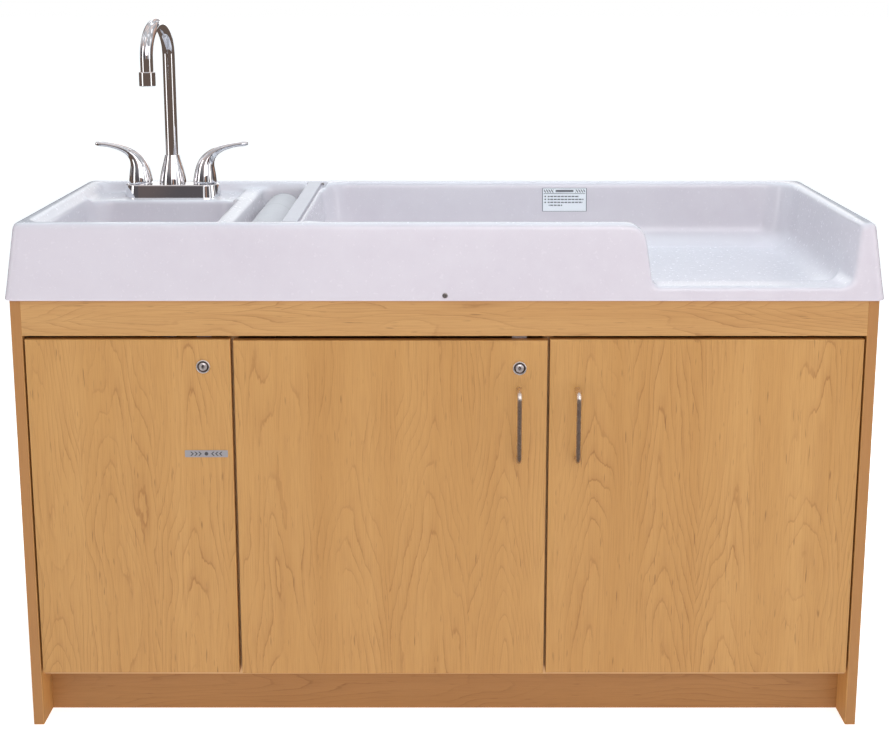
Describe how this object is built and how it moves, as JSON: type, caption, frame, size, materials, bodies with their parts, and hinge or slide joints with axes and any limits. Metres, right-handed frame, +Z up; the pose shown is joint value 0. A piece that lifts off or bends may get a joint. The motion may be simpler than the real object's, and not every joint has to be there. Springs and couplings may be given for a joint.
{
  "type": "changing table cabinet with sink",
  "caption": "Floor cabinet with doors and a one-piece moulded top holding a changing pan with a lowered front, a wash basin with swivel faucet and a paper roll.",
  "frame": {"origin": "centre of the footprint on the floor, midway between the foremost and rearmost points", "axes": "+X to the right seen from the front, +Y to the back, +Z up; the doors face -Y"},
  "size_m": [1.557, 0.6365, 1.2945],
  "materials": {
    "maple_panel": "satin laminate, maple grain, upright",
    "maple_door": "satin laminate, cathedral maple grain, upright",
    "maple_rail": "satin laminate, maple grain, level",
    "maple_toe": "satin laminate, maple grain, level",
    "plain_board": "sanded board",
    "back_board": "thin hardboard, laminate face",
    "top_plastic": "moulded, semi-gloss, off-white",
    "chrome": "polished chrome plate",
    "nickel": "brushed nickel",
    "lock_metal": "nickel plate",
    "zinc_steel": "zinc-plated steel",
    "label_grey": "printed tape, no lettering",
    "label_white": "printed vinyl, no lettering",
    "grey_plastic": "moulded plastic",
    "white_plastic": "moulded plastic",
    "black_rubber": "soft rubber",
    "clear_bumper": "soft clear bumper",
    "brass": "cast and turned brass",
    "drain_steel": "polished stainless steel",
    "bar_plastic": "satin off-white plastic",
    "paper": "smooth exam paper",
    "cardboard": "spiral-wound board"
  },
  "bodies": {
    "cabinet": {"left_side_panel": "maple_panel", "right_side_panel": "maple_panel", "left_partition": "maple_panel", "right_partition": "maple_panel", "bottom_panel": "maple_panel", "middle_shelf": "maple_panel", "right_shelf": "maple_panel", "toe_board": "maple_toe", "top_rail": "maple_rail", "rear_rail": "plain_board", "support_deck": "plain_board", "back_panel": "back_board", "shelf_pins": "zinc_steel", "hinge_arms": "zinc_steel", "door_bumpers": "clear_bumper", "lock_strikes": "zinc_steel", "latch_body": "white_plastic", "moulded_top": "top_plastic", "skirt_screws": "zinc_steel", "wall_label": "label_white", "faucet_base": "chrome", "spout_hub": "chrome", "faucet_shanks": "brass", "shank_nuts": "grey_plastic", "drain_body": "drain_steel", "drain_washer": "black_rubber", "drain_nut": "brass", "tailpiece": "chrome", "trap_bend": "chrome", "trap_arm": "chrome", "slip_nuts": "chrome", "spindle_brackets": "white_plastic", "bar_pin": "zinc_steel"},
    "left_door_body": {"left_door": "maple_door", "left_hinge_cups": "zinc_steel", "left_lock_housing": "lock_metal", "push_label": "label_grey", "latch_strike": "zinc_steel"},
    "middle_door_body": {"middle_door": "maple_door", "middle_hinge_cups": "zinc_steel", "middle_lock_housing": "lock_metal", "middle_pull": "nickel", "middle_pull_screws": "zinc_steel"},
    "right_door_body": {"right_door": "maple_door", "right_hinge_cups": "zinc_steel", "right_pull": "nickel", "right_pull_screws": "zinc_steel"},
    "left_lock": {"left_lock_plug": "lock_metal", "left_lock_cam": "zinc_steel"},
    "middle_lock": {"middle_lock_plug": "lock_metal", "middle_lock_cam": "zinc_steel"},
    "touch_plunger": {"latch_plunger": "grey_plastic"},
    "hot_lever": {"hot_handle": "chrome"},
    "cold_lever": {"cold_handle": "chrome"},
    "swivel_spout": {"spout": "chrome", "aerator": "chrome"},
    "roll": {"paper_roll": "paper", "roll_core": "cardboard", "roll_spindle": "white_plastic"},
    "paper_bar": {"hold_down_bar": "bar_plastic"}
  },
  "joints": [
    {"name": "left_door_hinge", "type": "hinge", "parent": "cabinet", "child": "left_door_body", "pos_m": [-0.7458, -0.283, 0.42], "axis": [0, 0, -1], "range_deg": [0, 95]},
    {"name": "middle_door_hinge", "type": "hinge", "parent": "cabinet", "child": "middle_door_body", "pos_m": [-0.3756, -0.283, 0.42], "axis": [0, 0, -1], "range_deg": [0, 95]},
    {"name": "right_door_hinge", "type": "hinge", "parent": "cabinet", "child": "right_door_body", "pos_m": [0.7458, -0.283, 0.42], "axis": [0, 0, 1], "range_deg": [0, 95]},
    {"name": "left_lock_turn", "type": "hinge", "parent": "left_door_body", "child": "left_lock", "pos_m": [-0.43, -0.283, 0.692], "axis": [0, 1, 0], "range_deg": [0, 90]},
    {"name": "middle_lock_turn", "type": "hinge", "parent": "middle_door_body", "child": "middle_lock", "pos_m": [0.134, -0.283, 0.689], "axis": [0, 1, 0], "range_deg": [0, 90]},
    {"name": "touch_latch_push", "type": "slide", "parent": "cabinet", "child": "touch_plunger", "axis": [0, 1, 0], "range_m": [0, 0.003], "stiffness_N_per_m": 600, "springref_m": -0.002},
    {"name": "hot_handle_turn", "type": "hinge", "parent": "cabinet", "child": "hot_lever", "pos_m": [-0.632, 0.212, 0.954], "axis": [0, 0, 1], "range_deg": [0, 90]},
    {"name": "cold_handle_turn", "type": "hinge", "parent": "cabinet", "child": "cold_lever", "pos_m": [-0.498, 0.212, 0.954], "axis": [0, 0, -1], "range_deg": [0, 90]},
    {"name": "spout_swivel", "type": "hinge", "parent": "cabinet", "child": "swivel_spout", "pos_m": [-0.565, 0.212, 1], "axis": [0, 0, 1], "range_deg": [-60, 100]},
    {"name": "roll_spin", "type": "hinge", "parent": "cabinet", "child": "roll", "pos_m": [-0.3355, 0, 0.892], "axis": [0, 1, 0], "continuous": true},
    {"name": "hold_down_bar_lift", "type": "hinge", "parent": "cabinet", "child": "paper_bar", "pos_m": [-0.2758, 0.2835, 0.943], "axis": [-1, 0, 0], "range_deg": [0, 85]}
  ]
}
